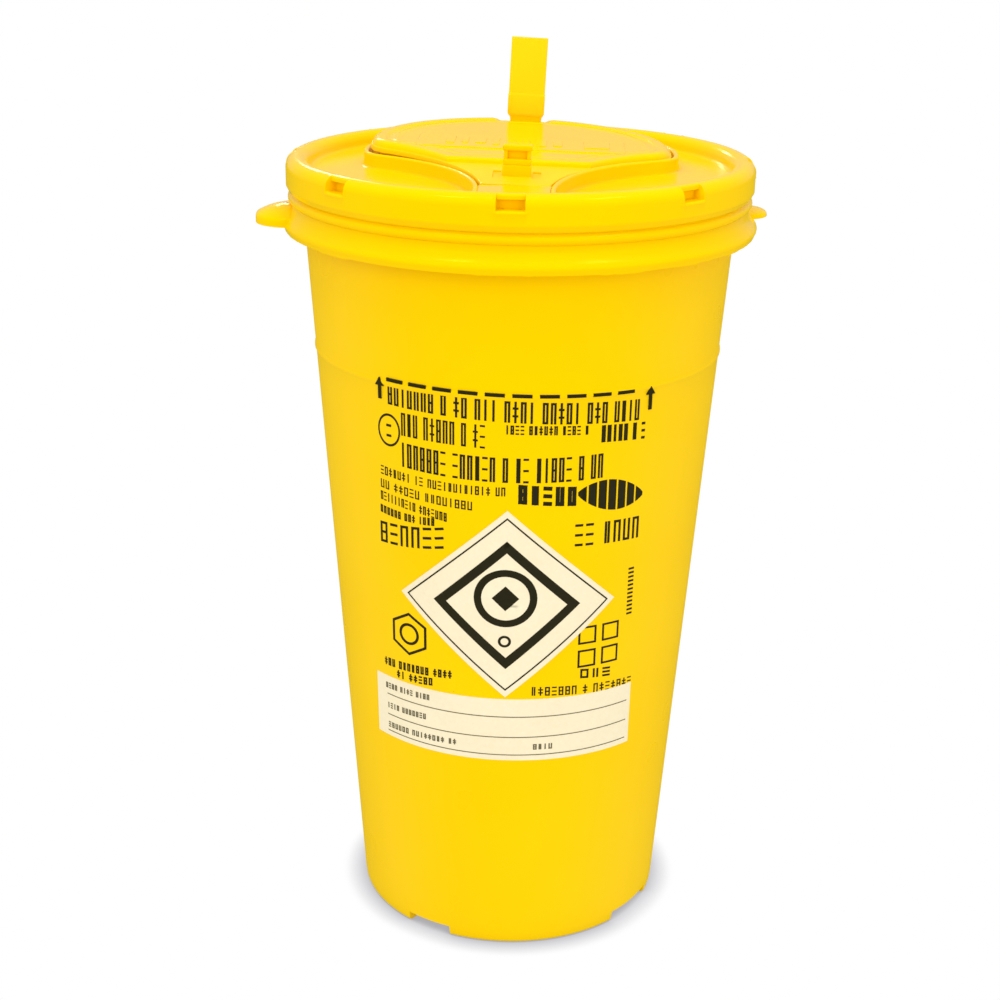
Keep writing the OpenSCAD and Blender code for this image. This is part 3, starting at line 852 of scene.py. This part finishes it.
def catch_hook():
    """Upright of the catch: a block, a set-back shank with two ribs and a nose that hangs over it."""
    low = catch_at.z + 0.12
    half = CATCH_W / 2
    front, back = CATCH_FRONT, CATCH_FRONT + 2.9
    parts = [sloped_block(half - 0.075, front + 0.05, back, low, low + 1.15, low + 1.75, 0.2)]
    shank_high = (half - 0.55, back - 0.1, low + 3.6)
    parts.append(rounded_block((-half + 0.55, front + 1.25, low + 0.9), shank_high, 0.12))
    for x in (0.6 - half, half - 0.6):
        parts.append(rounded_block((x - 0.42, front + 0.35, low + 0.9), (x + 0.42, back, low + 3.5), 0.2))
    nose_low, nose_high = (-half - 0.1, front + 0.1, low + 3.0), (half + 0.1, back, low + 4.3)
    parts.append(rounded_block(nose_low, nose_high, 0.42, 4))
    return moved(merge(*parts), ajar)


block = make_piece("catch_block_moulding", catch_block(), "flap")
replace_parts(block, "catch_base")
hook = make_piece("catch_hook_moulding", catch_hook(), "catch")
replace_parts(hook, "catch_post")
catch_web_part = web_between(CATCH_W - 0.7, CATCH_FRONT + 1.7, 0.45, catch_at.z - 0.7, catch_at.z + 0.6)
catch_web = make_piece("catch_hinge_web", moved(catch_web_part, ajar), None)
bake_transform(catch_web)

# ---------- labels and print ----------
LABEL_T = 0.15
CARD_T = LABEL_T * 0.7
INK_T = 0.03
FILM_DEPTH = 0.02
# Ink height where the print runs over the raised fill line
RING_INK = 0.3


def on_wall(s, z, lift):
    """Point on the tapered wall, s millimetres round from the front, lifted off it."""
    a = s / wall_r(z)
    return ((wall_r(z) + lift) * sin(a), -(wall_r(z) + lift) * cos(a), z)


def patch(corners, lift, step=2.0, depth=None):
    """Thin patch on the wall over four (s, z) corners, with its edges turned down."""
    (s0, z0), (s1, z1), (s2, z2), (s3, z3) = corners
    width = max(hypot(s1 - s0, z1 - z0), hypot(s2 - s3, z2 - z3))
    height = max(hypot(s3 - s0, z3 - z0), hypot(s2 - s1, z2 - z1))
    across = max(abs(s3 - s0), abs(s2 - s1))
    nu = max(1, ceil(width / step))
    nv = max(1, ceil(height / (3 * step)), ceil(across / step))
    points = []
    for layer in (lift, 0.0 if depth is None else lift - depth):
        for v in range(nv + 1):
            for u in range(nu + 1):
                p, q = u / nu, v / nv
                s, z = [(1 - q) * ((1 - p) * a + p * b) + q * ((1 - p) * d + p * c)
                        for a, b, c, d in zip(*corners)]
                points.append(on_wall(s, z, layer))
    size = (nu + 1) * (nv + 1)
    grid = [[v * (nu + 1) + u for u in range(nu + 1)] for v in range(nv + 1)]
    faces = [(grid[v][u], grid[v][u + 1], grid[v + 1][u + 1], grid[v + 1][u])
             for v in range(nv) for u in range(nu)]
    edge = grid[0] + [row[-1] for row in grid[1:]]
    edge += grid[-1][-2::-1] + [row[0] for row in grid[-2:0:-1]]
    faces += [(b, a, a + size, b + size) for a, b in zip(edge, edge[1:] + edge[:1])]
    return points, faces


def bar(s0, s1, z0, z1, lift, tilt=0.0):
    """Upright rectangle of print; tilt lowers its right end."""
    return patch([(s0, z0), (s1, z0 - tilt), (s1, z1 - tilt), (s0, z1)], lift)


def ring_print(centre, radius, thick, lift, squash=1.0, steps=40):
    """Round band of print."""
    loops = []
    for r, layer in ((radius, 0.0), (radius, lift), (radius - thick, lift), (radius - thick, 0.0)):
        turns = [2 * pi * i / steps for i in range(steps)]
        loops.append([on_wall(centre[0] + r * squash * cos(a), centre[1] + r * sin(a), layer) for a in turns])
    return skin(loops, True)


def outline_print(outer, inner, lift, step=2.0, depth=None):
    """Straight-sided frame of print between two outlines of (s, z) corners."""
    sides = range(len(outer))
    return merge(*[patch([outer[i - 1], outer[i], inner[i], inner[i - 1]], lift, step, depth) for i in sides])


def lozenge(centre, half_w, half_h):
    """Corners of a square that stands on one of them."""
    s, z = centre
    return [(s - half_w, z), (s, z - half_h), (s + half_w, z), (s, z + half_h)]


def diamond_ring(centre, half_w, half_h, thick, lift):
    """Frame that stands on one corner."""
    share = 1 - thick * sqrt(2) / min(half_w, half_h)
    inner = lozenge(centre, half_w * share, half_h * share)
    return outline_print(lozenge(centre, half_w, half_h), inner, lift, 1.5, FILM_DEPTH)


mid_z = (diamond_low.z + diamond_high.z) / 2
mid_s = (diamond_low.x + diamond_high.x) / 2
half_h = (diamond_high.z - diamond_low.z) / 2
half_s = wall_r(mid_z) * asin((diamond_high.x - diamond_low.x) / 2 / wall_r(mid_z))


def diamond_film():
    """The cream diamond, in rows that follow the tapered wall."""
    rows = 26
    parts = []
    for side in (1, -1):
        for k in range(rows):
            z0, z1 = (mid_z + side * half_h * t / rows for t in (k, k + 1))
            w0, w1 = (half_s * (1 - t / rows) + 0.001 for t in (k, k + 1))
            row = [(mid_s - w0, z0), (mid_s + w0, z0), (mid_s + w1, z1), (mid_s - w1, z1)]
            parts.append(patch(row, LABEL_T))
    return merge(*parts)


def card_film():
    """The write-on panel; the thicker diamond lies over its upper edge."""
    r = wall_r((card_low.z + card_high.z) / 2)
    left, right = r * asin(card_low.x / r), r * asin(card_high.x / r)
    corners = [(left, card_low.z), (right, card_low.z), (right, card_high.z), (left, card_high.z)]
    return patch(corners, CARD_T, 1.5)


diamond = make_piece("diamond_film", diamond_film(), "container", 30, cream_film)
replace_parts(diamond, "hazard_label")
card_piece = make_piece("write_on_film", card_film(), "container", 30, cream_film)
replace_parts(card_piece, "write_on_label")

chance = random.Random(7)
WORD_GAP = 0.7
# Strokes (u0, v0, u1, v1) in a unit box, and the plain placeholder marks made of them
LEFT, RIGHT, SPINE = (0, 0, 0, 1), (1, 0, 1, 1), (0.5, 0, 0.5, 1)
LOW, MID, TOP = (0, 0, 1, 0), (0, 0.5, 1, 0.5), (0, 1, 1, 1)
MARKS = (
    (LEFT, RIGHT, LOW, TOP),
    (LEFT, RIGHT, TOP),
    (LEFT, RIGHT, LOW),
    (SPINE, (0, 0.3, 1, 0.3), (0, 0.7, 1, 0.7)),
    ((0.2, 0, 0.2, 1), (0.8, 0, 0.8, 1)),
    (LEFT, RIGHT, LOW, TOP, MID),
    (SPINE,),
    (LOW, MID, TOP),
)


def curve_z(left, middle, right, s):
    """Height at s of the parabola through three (s, z) points."""
    t = (s - left[0]) / (right[0] - left[0])
    m = (middle[0] - left[0]) / (right[0] - left[0])
    return (left[1] * (t - m) * (t - 1) / m + middle[1] * t * (t - 1) / (m * (m - 1))
            + right[1] * t * (t - m) / (1 - m))


def mark_row(left, middle, right, height, words, stroke, lift=INK_T):
    """A row of plain placeholder marks, in word groups, along a curve through three (s, z) points."""
    spread = sum(words) + WORD_GAP * (len(words) - 1)
    pitch = (right[0] - left[0]) / spread
    width = pitch * 0.72
    parts = []
    s = left[0]
    for word in words:
        for _ in range(word):
            for u0, v0, u1, v1 in chance.choice(MARKS):
                ends = []
                for u, v in ((u0, v0), (u1, v1)):
                    at = s + stroke / 2 + u * (width - stroke)
                    level = curve_z(left, middle, right, at)
                    ends.append(Vector((at, level + (v - 0.5) * (height - stroke))))
                along = (ends[1] - ends[0]).normalized() * stroke / 2
                across = Vector((-along.y, along.x))
                first, last = ends[0] - along, ends[1] + along
                parts.append(patch([first - across, last - across, last + across, first + across], lift))
            s += pitch
        s += WORD_GAP * pitch
    return merge(*parts)


def lens_print():
    """Pointed oval of print, cut by thin upright gaps."""
    left, right, half = 15.2, 32.4, 3.7
    left_z, fall = 120.2, 2.4
    pieces, gap, steps = 7, 0.22, 3
    pitch = (right - left) / pieces
    parts = []
    for i in range(pieces):
        tops, lows = [], []
        for k in range(steps + 1):
            s = left + i * pitch + gap + (pitch - 2 * gap) * k / steps
            share = (s - left) / (right - left)
            tall = half * sin(pi * share) ** 0.7
            mid = left_z - fall * share
            tops.append((s, mid + tall))
            lows.append((s, mid - tall))
        for k in range(steps):
            parts.append(patch([lows[k], lows[k + 1], tops[k + 1], tops[k]], INK_T))
    return merge(*parts)


def arrow(s, low, high):
    """Plain arrow that points up at the fill line."""
    head = [(s - 1.25, high - 1.9), (s + 1.25, high - 1.9), (s, high), (s - 0.1, high)]
    return merge(bar(s - 0.4, s + 0.4, low, high - 1.6, RING_INK), patch(head, RING_INK))


def fill_mark():
    """Dashes along the fill line, falling a little to the right, with an arrow at each end."""
    left, run, dash, count = -29.1, 57.4, 4.3, 10
    left_z, fall, thick, tilt = 143.75, 1.2, 0.8, 0.09
    parts = []
    for i in range(count):
        s = left + i * (run - dash) / (count - 1)
        z = left_z - fall * (s + 29) / 58
        parts.append(bar(s, s + dash, z, z + thick, RING_INK, tilt))
    return merge(*parts, arrow(-31.2, 139.3, 144.3), arrow(32.9, 137.9, 143.4))


def hexagon(centre, radius):
    """Corners of a hexagon that stands on one of them."""
    turns = [radians(60 * i) for i in range(6)]
    return [(centre[0] + radius * sin(a), centre[1] + radius * cos(a)) for a in turns]


def hexagon_badge(centre, radius, lift):
    """Plain six-sided badge with a ring in it."""
    sides = outline_print(hexagon(centre, radius), hexagon(centre, radius - 0.75), lift)
    return merge(sides, ring_print(centre, radius * 0.5, 0.7, lift))


def square_badge(centre, half, lift):
    """Plain badge of four open squares."""
    away, w, line = half * 0.56, half * 0.42, 0.5
    parts = []
    for ds in (-away, away):
        for dz in (-away, away):
            s, z = centre[0] + ds, centre[1] + dz
            for low in (z + w - line, z - w):
                parts.append(bar(s - w, s + w, low, low + line, lift))
            for left in (s - w, s + w - line):
                parts.append(bar(left, left + line, z - w + line, z + w - line, lift))
    return merge(*parts)


def plain_badge(centre, lift):
    """Plain badge: a thick ring round a solid lozenge."""
    return merge(ring_print(centre, 7.2, 1.7, lift), patch(lozenge(centre, 3.1, 3.1), lift, 1.0, FILM_DEPTH))


ON_DIAMOND = LABEL_T + INK_T
ON_CARD = CARD_T + INK_T
# Places are (s, z) in millimetres: round the wall from the front, and up from the foot
prints = {
    "print_fill_mark": fill_mark(),
    "print_top_row": mark_row((-29, 140.8), (0, 139.8), (30.5, 138.3), 4.9, (7, 1, 2, 3, 4, 5, 3, 4), 0.5),
    "print_second_row": mark_row((-25.4, 134.3), (-15, 134.1), (-5, 133.8), 5.4, (3, 5, 1, 2), 0.44),
    "print_small_volume": mark_row((-1, 135.7), (8, 135.5), (17.7, 135.1), 2.1, (4, 6, 4, 1), 0.34),
    "print_bold_size": mark_row((20.5, 133.9), (26, 133.6), (32.3, 133.1), 4.0, (5, 1, 1), 0.62),
    "print_third_row": mark_row((-25.6, 127.1), (-2, 126.2), (21.6, 126.4), 5.8, (7, 6, 1, 2, 5, 1, 2), 0.5),
    "print_small_rows": merge(
        mark_row((-31.6, 122.2), (-15, 121.2), (-0.5, 121.1), 2.1, (7, 2, 12, 2), 0.3),
        mark_row((-31.7, 118.9), (-20, 117.9), (-7.8, 117.2), 2.1, (2, 5, 8), 0.3),
        mark_row((-31.8, 115.9), (-22, 114.8), (-13.8, 113.7), 2.1, (10, 7), 0.3),
        mark_row((-32, 112.6), (-24, 111.9), (-16.8, 112.2), 1.9, (6, 3, 4), 0.34)),
    "print_large_word_left": mark_row((-32.2, 106.7), (-23, 107.3), (-14, 108.8), 5.2, (6,), 0.62),
    "print_large_word_right": mark_row((15, 110.1), (23, 109.9), (32.3, 109.6), 5.4, (2, 4), 0.6),
    "print_wide_mark": merge(
        mark_row((2.0, 120.6), (8, 120.1), (15.8, 119.6), 4.6, (5,), 0.95), lens_print()),
    "print_ring_mark": merge(ring_print((-28.9, 132.2), 3.9, 0.55, INK_T, 0.82),
                             bar(-29.6, -28.2, 133.0, 133.6, INK_T), bar(-29.6, -28.2, 130.6, 131.2, INK_T)),
    "print_hexagon_badge": hexagon_badge((-24.2, 82.2), 5.6, INK_T),
    "print_badge_rows": merge(
        mark_row((-32.1, 72.9), (-22, 73.4), (-12.6, 74.1), 2.1, (3, 7, 4), 0.4),
        mark_row((-28.1, 70.6), (-23, 70.7), (-17.5, 71.2), 2.0, (2, 5), 0.4)),
    "print_square_badge": square_badge((21.9, 81.5), 5.4, INK_T),
    "print_right_rows": merge(
        mark_row((17.4, 74.6), (21, 74.2), (26.1, 73.7), 2.4, (3,), 0.5),
        mark_row((5.7, 71.1), (18, 70.4), (32.3, 69.4), 2.3, (7, 1, 7), 0.34)),
    "print_side_row": merge(*[bar(29.3, 30.9, 87.6 + i * 1.05, 88.1 + i * 1.05, INK_T) for i in range(12)]),
    "print_diamond_line": diamond_ring((mid_s, mid_z), half_s - 1.7, half_h - 1.7, 0.34, ON_DIAMOND),
    "print_diamond_frame": diamond_ring((mid_s, mid_z), 17.0, 16.1, 2.05, ON_DIAMOND),
    "print_diamond_badge": plain_badge((mid_s - 0.2, mid_z + 1.9), ON_DIAMOND),
    "print_diamond_dot": ring_print((mid_s - 0.3, mid_z - 9.0), 1.5, 0.6, ON_DIAMOND),
}
RULE_LEFT, RULE_RIGHT, RULE_W = -31.4, 30.7, 0.24
rules = []
for z0, z1 in ((64.0, 64.3), (58.4, 59.0), (53.9, 54.0)):
    corners = [(RULE_LEFT, z0), (RULE_RIGHT, z1), (RULE_RIGHT, z1 + RULE_W), (RULE_LEFT, z0 + RULE_W)]
    rules.append(patch(corners, ON_CARD))
prints["print_card_lines"] = merge(*rules)
prints["print_card_captions"] = merge(
    mark_row((-31.8, 66.4), (-25, 66.6), (-18.4, 66.8), 1.5, (4, 4, 4), 0.32, ON_CARD),
    mark_row((-31.4, 61.0), (-25, 61.2), (-19.4, 61.4), 1.5, (4, 7), 0.32, ON_CARD),
    mark_row((-31.2, 55.7), (-21, 56.0), (-11.5, 56.3), 1.5, (6, 8, 2), 0.32, ON_CARD),
    mark_row((6.4, 56.2), (8.5, 56.2), (11.3, 56.2), 1.5, (4,), 0.32, ON_CARD))
for name, part in prints.items():
    shade = grey_ink if name.startswith("print_card") else ink
    make_piece(name, part, "container", 30, shade)

# ---------- carried-over CAD nodes ----------
KEPT = ((pot_plastic, ("container_floor", "neck", "snap_bead")),
        (lid_plastic, ("snap_hooks", "lid_deck", "sealing_plug", "flap_seat", "hinge_land")))
for material, nodes in KEPT:
    for node in nodes:
        slots = frame["nodes"][node].data.materials
        slots.clear()
        slots.append(material)

# ---------- floor, light and camera ----------
FLOOR_HALF = 6000


def pale_floor():
    """Glowing white floor with a painted contact shadow: it darkens softly to grey only where the object
    stands close to it.
    """
    material, tree = new_material("pale_floor")
    out = add(tree, "ShaderNodeOutputMaterial")
    # Painted contact shadow: ambient occlusion near the object turns the floor's glow grey
    near = add(tree, "ShaderNodeAmbientOcclusion", samples=24, Distance=0.008)
    tone = ramp(tree, (0.3, (0.42, 0.41, 0.43)), (0.6, (0.7, 0.69, 0.71)), (0.9, (1, 1, 1)))
    glow = add(tree, "ShaderNodeEmission", Strength=1.0)
    # What the plastic mirrors of the floor is dim and warm
    dim = add(tree, "ShaderNodeEmission", Color=(0.5, 0.42, 0.05, 1))
    rays = add(tree, "ShaderNodeLightPath")
    both = add(tree, "ShaderNodeMixShader")
    wire(tree, (near, "AO", tone, "Fac"), (tone, "Color", glow, "Color"), (rays, "Is Glossy Ray", both, 0),
         (glow, 0, both, 1), (dim, 0, both, 2), (both, 0, out, "Surface"))
    return material


corners = [(x * FLOOR_HALF, y * FLOOR_HALF, 0) for x, y in ((-1, -1), (1, -1), (1, 1), (-1, 1))]
floor = new_object("floor", new_mesh("floor", corners, [(0, 1, 2, 3)]))
floor.data.materials.append(pale_floor())


def studio_world():
    """White surroundings; reflections see a warm dim room, paler towards the back."""
    world = bpy.data.worlds.new("studio")
    world.use_nodes = True
    bpy.context.scene.world = world
    tree = world.node_tree
    tree.nodes.clear()
    out = add(tree, "ShaderNodeOutputWorld")
    rays = add(tree, "ShaderNodeLightPath")
    place = add(tree, "ShaderNodeTexCoord")
    parts = add(tree, "ShaderNodeSeparateXYZ")
    depth = ramp(tree, (0.0, (0.4, 0.32, 0.01)), (0.55, (0.55, 0.45, 0.03)), (0.8, (0.5, 0.45, 0.14)),
                 (0.95, (0.5, 0.46, 0.38)))
    half = add(tree, "ShaderNodeMapRange")
    half.inputs["From Min"].default_value = -1
    half.inputs["From Max"].default_value = 1
    seen = add(tree, "ShaderNodeBackground", Color=(1, 1, 1, 1), Strength=1.0)
    fill = add(tree, "ShaderNodeBackground", Color=(1, 1, 1, 1), Strength=0.78)
    shine = add(tree, "ShaderNodeBackground", Strength=1.0)
    glossy = add(tree, "ShaderNodeMixShader")
    final = add(tree, "ShaderNodeMixShader")
    wire(tree, (place, "Generated", parts, "Vector"), (parts, "Y", half, "Value"),
         (half, "Result", depth, "Fac"), (depth, "Color", shine, "Color"),
         (rays, "Is Glossy Ray", glossy, 0), (fill, 0, glossy, 1),
         (shine, 0, glossy, 2), (rays, "Is Camera Ray", final, 0), (glossy, 0, final, 1), (seen, 0, final, 2),
         (final, 0, out, 0))


studio_world()


def softbox(name, place, target, size, power, shines):
    """Rectangular lamp aimed at a point; only some of them are mirrored in the plastic."""
    light = bpy.data.lights.new(name, "AREA")
    light.shape = "RECTANGLE"
    light.size = size[0] * MM
    light.size_y = size[1] * MM
    light.energy = power
    lamp = new_object(name, light)
    lamp.location = Vector(place) * MM
    lamp.rotation_euler = (Vector(target) - Vector(place)).to_track_quat("-Z", "Y").to_euler()
    lamp.visible_glossy = shines
    lamp.visible_camera = False


POT_MIDDLE, LID_MIDDLE, LEFT_LUG = (0, 0, 110), (0, 0, 187), (-56, -7, 175)
# Name, place, target, width and height, power, and whether the plastic mirrors it
LIGHTS = (
    ("key", (-700, -1100, 900), POT_MIDDLE, (900, 900), 4.2, False),
    ("fill", (900, -1000, 500), POT_MIDDLE, (900, 900), 2.9, False),
    ("ceiling", (0, -100, 1500), POT_MIDDLE, (1000, 1000), 7.5, False),
    ("streak_left", (-330, -290, 1000), LID_MIDDLE, (220, 90), 0.5, True),
    ("streak_right", (430, -220, 960), LID_MIDDLE, (260, 90), 0.5, True),
    ("lug_glint", (-260, 900, 520), LEFT_LUG, (150, 70), 0.3, True),
)
for light in LIGHTS:
    softbox(*light)

camera_data = bpy.data.cameras.new("camera")
camera_data.lens = 63.895
camera_data.sensor_width = 36
camera = new_object("camera", camera_data)
# Headed a little to the left, tipped down, and rolled by less than a degree
heading, pitch, roll = radians(-2.0), radians(19.84), radians(0.835)
eye = Vector((10.8, -412.36, 251.37)) * MM
forward = Vector((sin(heading) * cos(pitch), cos(heading) * cos(pitch), -sin(pitch)))
right = forward.cross(Vector((0, 0, 1))).normalized()
up = right.cross(forward)
right, up = cos(roll) * right + sin(roll) * up, cos(roll) * up - sin(roll) * right
camera.matrix_world = Matrix.Translation(eye) @ Matrix((right, up, -forward)).transposed().to_4x4()
camera_data.clip_start = 0.01
camera_data.clip_end = 100
bpy.context.scene.camera = camera
bpy.context.scene.view_settings.view_transform = "Standard"
bpy.context.scene.view_settings.look = "None"
